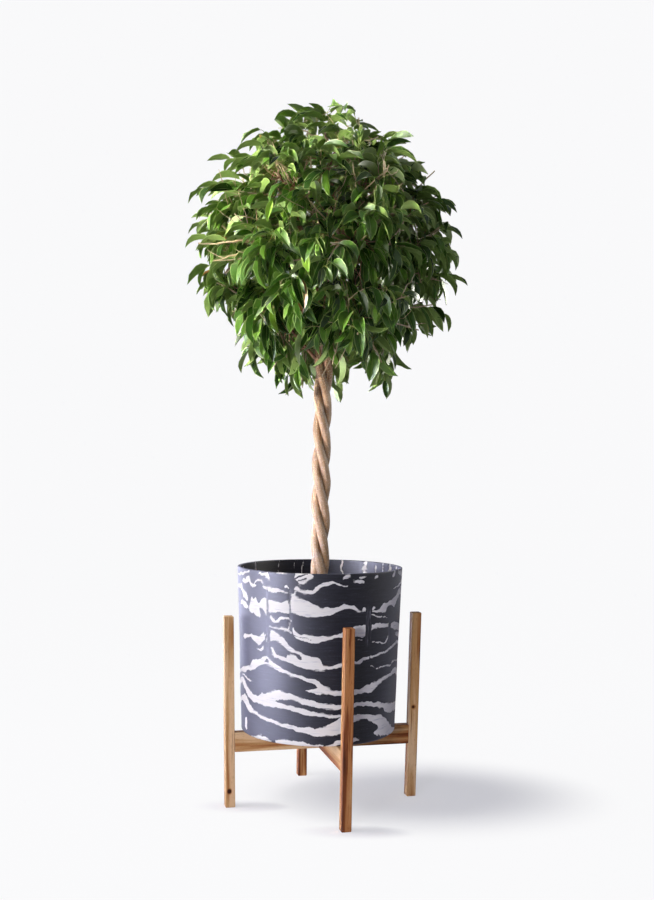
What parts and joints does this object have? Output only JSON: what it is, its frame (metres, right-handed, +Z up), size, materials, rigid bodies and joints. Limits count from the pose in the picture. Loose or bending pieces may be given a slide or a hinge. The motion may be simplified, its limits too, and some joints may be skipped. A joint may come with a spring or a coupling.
{
  "type": "potted weeping fig",
  "caption": "Weeping fig with a ball of small glossy leaves on a twisted trunk, in a round marbled planter standing on a crossed wooden stand.",
  "frame": {"origin": "on the floor, under the middle of the stand; the planter stands 9 mm to its left", "axes": "+Z up, +X and +Y along the stand's two bars; the picture looks from between -Y and -X, about 14 degrees off -Y"},
  "size_m": [0.5156, 0.5306, 1.3144],
  "materials": {
    "stand_wood": "satin",
    "dowel_wood": "matte",
    "planter": "satin",
    "soil": "matte",
    "bark": "matte",
    "leaf": "satin"
  },
  "bodies": {
    "root": {"bar_front_back": "stand_wood", "bar_left_right": "stand_wood", "branch_01": "bark", "branch_02": "bark", "branch_03": "bark", "branch_04": "bark", "branch_05": "bark", "branch_06": "bark", "branch_07": "bark", "branch_08": "bark", "branch_09": "bark", "branch_10": "bark", "branch_11": "bark", "branch_12": "bark", "branch_13": "bark", "branch_14": "bark", "branch_15": "bark", "branch_16": "bark", "branch_17": "bark", "branch_18": "bark", "dowel_back_lower": "dowel_wood", "dowel_back_upper": "dowel_wood", "dowel_front_lower": "dowel_wood", "dowel_front_upper": "dowel_wood", "dowel_left_lower": "dowel_wood", "dowel_left_upper": "dowel_wood", "dowel_right_lower": "dowel_wood", "dowel_right_upper": "dowel_wood", "foliage_01": "leaf", "foliage_02": "leaf", "foliage_03": "leaf", "foliage_04": "leaf", "foliage_05": "leaf", "foliage_06": "leaf", "foliage_07": "leaf", "foliage_08": "leaf", "foliage_09": "leaf", "foliage_10": "leaf", "foliage_11": "leaf", "foliage_12": "leaf", "foliage_13": "leaf", "foliage_14": "leaf", "foliage_15": "leaf", "foliage_16": "leaf", "foliage_17": "leaf", "foliage_18": "leaf", "leg_back": "stand_wood", "leg_front": "stand_wood", "leg_left": "stand_wood", "leg_right": "stand_wood", "planter": "planter", "soil": "soil", "stem_a": "bark", "stem_b": "bark", "stem_c": "bark"}
  },
  "joints": []
}
